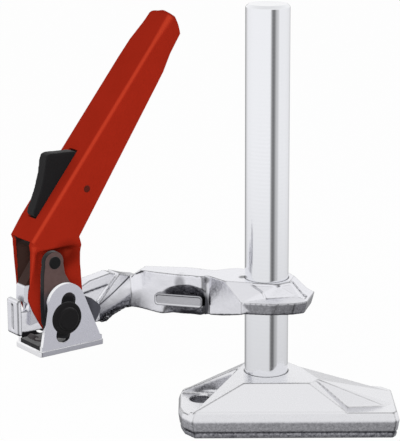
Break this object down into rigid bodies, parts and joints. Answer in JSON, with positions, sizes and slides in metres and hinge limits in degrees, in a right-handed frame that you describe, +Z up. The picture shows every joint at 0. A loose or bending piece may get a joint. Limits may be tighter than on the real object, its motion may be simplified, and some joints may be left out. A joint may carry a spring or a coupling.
{
  "type": "machine table clamp",
  "caption": "Quick-action machine table clamp: a cranked arm slides on a round column in a bolted base, and a red lever with cam plates and ratchet presses a slotted foot onto the work.",
  "frame": {"origin": "on the column axis at the flat underside of the base", "axes": "+Z up the column; the arm reaches towards -X; +X along the long side of the base, away from the arm; +Y to the side on which the arm is cranked"},
  "size_m": [0.222, 0.0814, 0.244],
  "materials": {
    "plated_casting": "bright plated casting",
    "plated_forging": "bright plated forging",
    "chromed_column": "hard chrome",
    "red_paint": "satin red paint on pressed steel",
    "dark_steel": "dark hardened steel",
    "zinc_sheet": "zinc plated sheet steel",
    "bright_steel": "bright steel",
    "black_steel": "black oxide steel",
    "black_plastic": "black moulded plastic"
  },
  "bodies": {
    "base": {"base_plate": "plated_casting", "set_screw": "black_steel"},
    "column": {"column": "chromed_column"},
    "arm": {"sliding_arm": "plated_forging", "ratchet_plate_near": "bright_steel", "ratchet_plate_far": "bright_steel", "ratchet_rivets": "bright_steel", "main_pin": "bright_steel"},
    "lever": {"lever_handle": "red_paint", "cam_plate_near": "dark_steel", "cam_plate_far": "dark_steel", "strap_pin": "black_steel", "trigger_pin": "bright_steel", "release_spring": "bright_steel"},
    "trigger": {"trigger": "black_plastic"},
    "pawl": {"pawl": "bright_steel"},
    "guide": {"guide_cap_near": "black_plastic", "guide_cap_far": "black_plastic"},
    "foot": {"foot_bracket": "zinc_sheet", "pressure_plate": "zinc_sheet", "foot_rivets": "bright_steel", "foot_spring": "bright_steel"}
  },
  "joints": [
    {"name": "column_turn", "type": "hinge", "parent": "base", "child": "column", "pos_m": [0, 0, 0.03], "axis": [0, 0, 1], "continuous": true},
    {"name": "arm_slide", "type": "slide", "parent": "column", "child": "arm", "axis": [0, 0, 1], "range_m": [-0.033, 0.155]},
    {"name": "lever_swing", "type": "hinge", "parent": "arm", "child": "lever", "pos_m": [-0.1215, -0.009, 0.0691], "axis": [-0.5948, 0.8039, 0], "range_deg": [0, 45]},
    {"name": "trigger_press", "type": "hinge", "parent": "lever", "child": "trigger", "pos_m": [-0.10856, 0.00058, 0.14148], "axis": [0.5948, -0.8039, 0], "range_deg": [0, 4], "stiffness_Nm_per_rad": 1, "springref_deg": -2.86},
    {"name": "pawl_lift", "type": "hinge", "parent": "lever", "child": "pawl", "pos_m": [-0.12568, -0.01209, 0.1017], "axis": [-0.5948, 0.8039, 0], "range_deg": [0, 6]},
    {"name": "foot_tilt", "type": "hinge", "parent": "arm", "child": "guide", "pos_m": [-0.1215, -0.009, 0.0691], "axis": [-0.5948, 0.8039, 0], "range_deg": [-3, 3], "stiffness_Nm_per_rad": 0.6},
    {"name": "foot_press", "type": "slide", "parent": "guide", "child": "foot", "axis": [-0.1603, -0.1186, -0.9799], "range_m": [0, 0.0066]}
  ],
  "couplings": [
    {"joint": "pawl_lift", "follows": "trigger_press", "ratio": 1.45},
    {"joint": "foot_press", "follows": "lever_swing", "m_per_rad": 0.008164}
  ]
}
